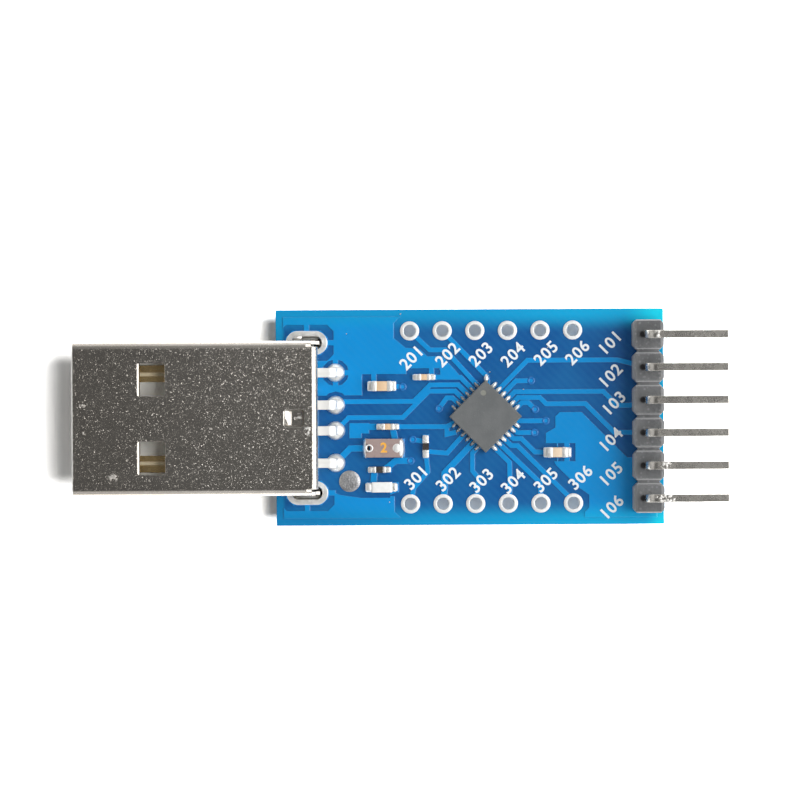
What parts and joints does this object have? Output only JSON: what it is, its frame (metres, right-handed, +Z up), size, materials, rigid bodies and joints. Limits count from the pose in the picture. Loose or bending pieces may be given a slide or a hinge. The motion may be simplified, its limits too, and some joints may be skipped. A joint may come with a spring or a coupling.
{
  "type": "usb to serial adapter module",
  "caption": "Small circuit board with a USB-A plug soldered to one end and a right-angle pin header on the other, for joining a computer to a serial port.",
  "frame": {"origin": "under the middle of the whole length from the plug's front to the pin tips, at the level of the ends of the solder tails on which the adapter rests", "axes": "+X from the plug to the header pins, +Y across the board to the left when looking along +X, +Z up from the solder side to the component side"},
  "size_m": [0.051, 0.0168, 0.0076],
  "materials": {
    "solder_mask": "glossy blue lacquer over copper, darker where there is no copper",
    "shell_nickel": "bright nickel with fine specks",
    "insulator_plastic": "satin white",
    "contact_gold": "thin gold flash",
    "pin_metal": "bright tin",
    "solder": "bright solder",
    "tin": "satin tin",
    "header_plastic": "matt, slightly rough",
    "chip_plastic": "matt moulded",
    "fuse_laminate": "translucent brown grey",
    "lamp_base": "white",
    "lamp_lens": "milky clear",
    "capacitor_ceramic": "satin tan",
    "capacitor_pale": "satin cream",
    "resistor_ceramic": "satin white",
    "resistor_glaze": "dark glaze"
  },
  "bodies": {
    "root": {"circuit_board": "solder_mask", "usb_shell": "shell_nickel", "usb_insulator": "insulator_plastic", "usb_contact_1": "contact_gold", "usb_contact_2": "contact_gold", "usb_contact_3": "contact_gold", "usb_contact_4": "contact_gold", "contact_solder": "solder", "tab_solder": "solder", "header_body": "header_plastic", "header_pin_1": "pin_metal", "header_pin_2": "pin_metal", "header_pin_3": "pin_metal", "header_pin_4": "pin_metal", "header_pin_5": "pin_metal", "header_pin_6": "pin_metal", "header_solder": "solder", "chip_body": "chip_plastic", "chip_terminals": "tin", "chip_solder": "solder", "trace_solder_bead": "solder", "fuse_body": "fuse_laminate", "fuse_terminals": "tin", "led_body": "lamp_base", "led_terminals": "tin", "led_lens": "lamp_lens", "capacitor_1_body": "capacitor_ceramic", "capacitor_1_terminals": "tin", "capacitor_2_body": "capacitor_ceramic", "capacitor_2_terminals": "tin", "capacitor_3_body": "capacitor_ceramic", "capacitor_3_terminals": "tin", "capacitor_4_body": "capacitor_pale", "capacitor_4_terminals": "tin", "resistor_1_body": "resistor_ceramic", "resistor_1_coat": "resistor_glaze", "resistor_1_terminals": "tin", "resistor_2_body": "resistor_ceramic", "resistor_2_coat": "resistor_glaze", "resistor_2_terminals": "tin", "component_solder": "solder"}
  },
  "joints": []
}
